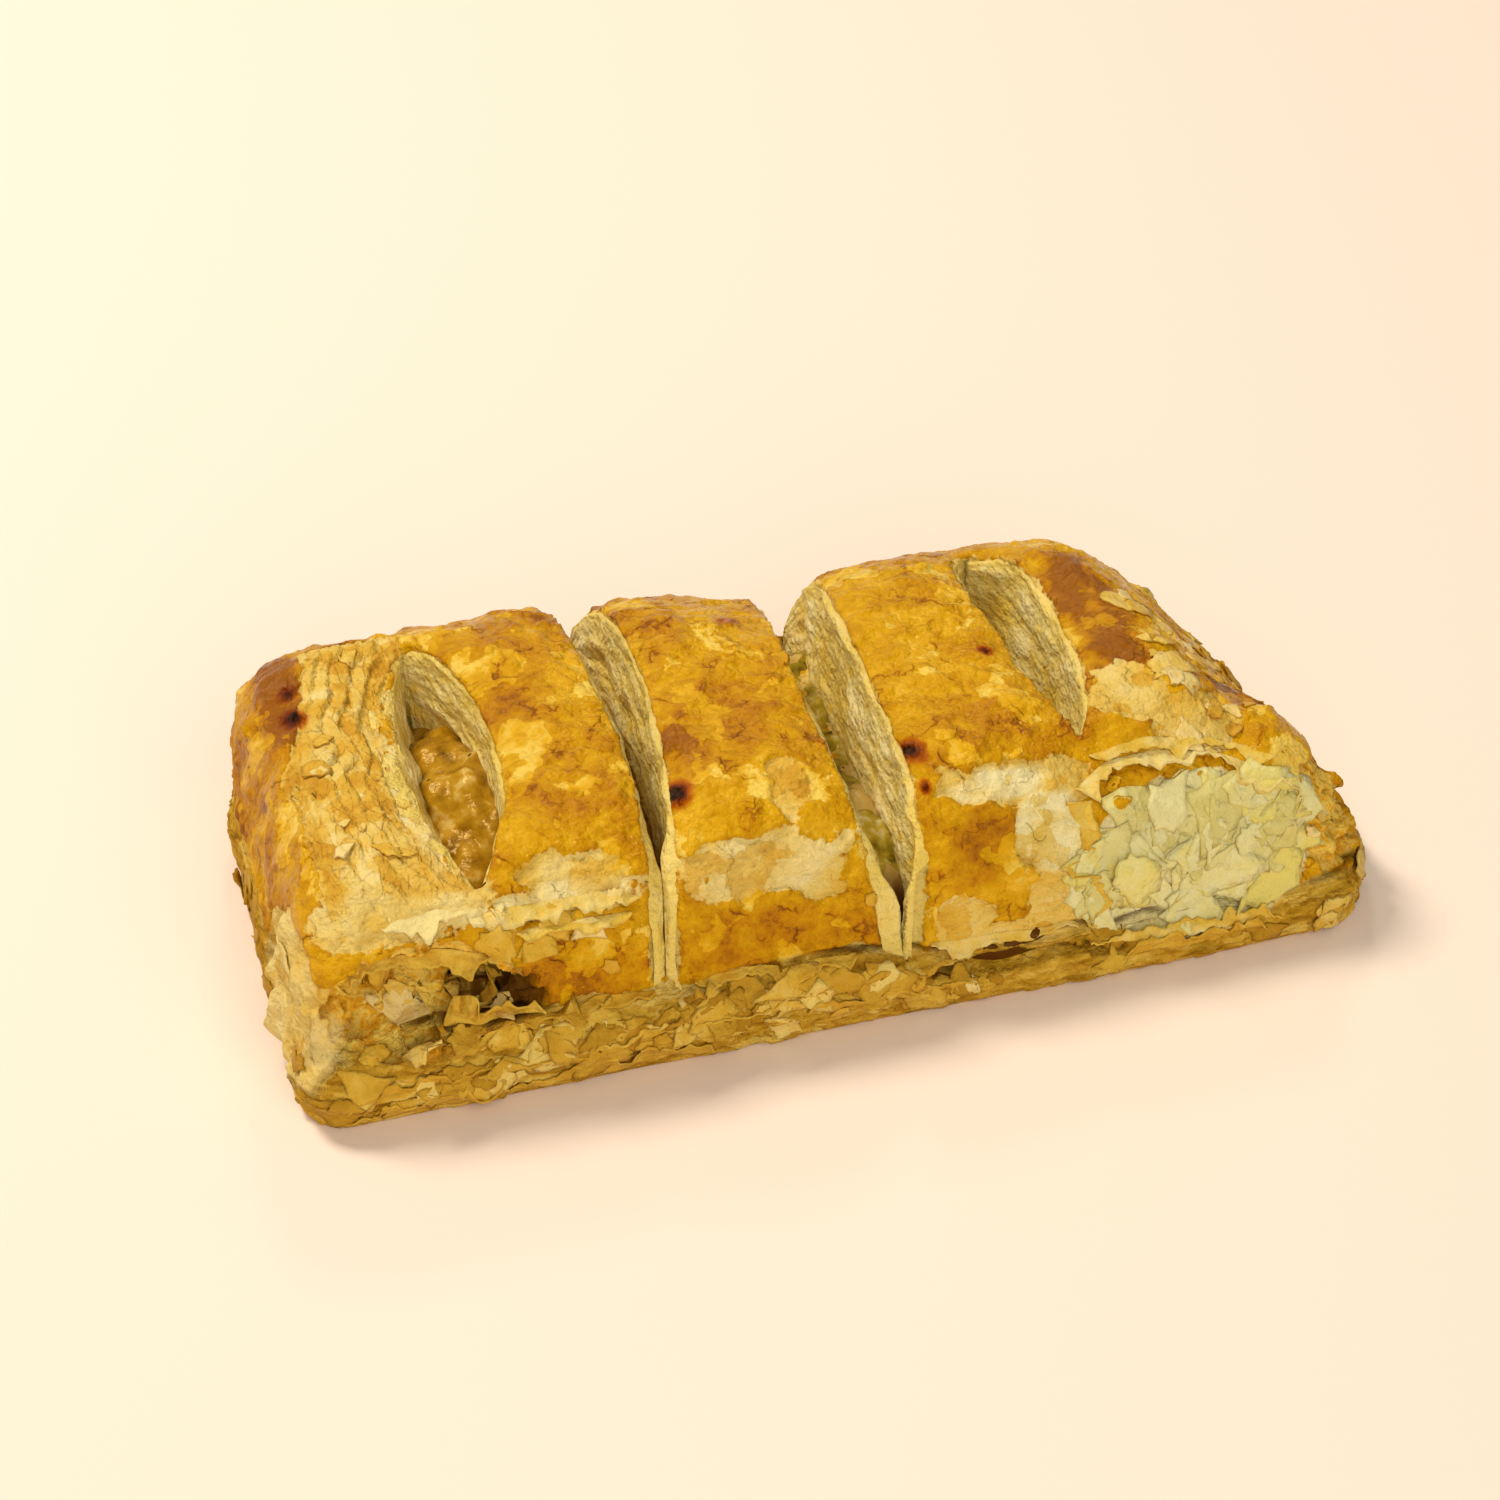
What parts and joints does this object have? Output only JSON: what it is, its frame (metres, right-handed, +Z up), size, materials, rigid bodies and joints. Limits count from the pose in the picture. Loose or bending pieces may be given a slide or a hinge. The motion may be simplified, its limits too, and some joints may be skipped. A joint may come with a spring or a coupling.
{
  "type": "chicken puff",
  "caption": "Rectangular baked puff pastry, slashed across its golden lid so that a chicken filling shows; a savoury snack that rests on its flat base.",
  "frame": {"origin": "middle of the flat base, on the surface that the puff rests on", "axes": "+X along the puff towards its thinner end, -Y towards the flaky front seam, +Z up"},
  "size_m": [0.1439, 0.0749, 0.0311],
  "materials": {
    "baked_pastry": "egg-washed golden crust over matte pale leaves",
    "chicken_filling": "moist"
  },
  "bodies": {
    "root": {"pastry": "baked_pastry", "filling": "chicken_filling"}
  },
  "joints": []
}
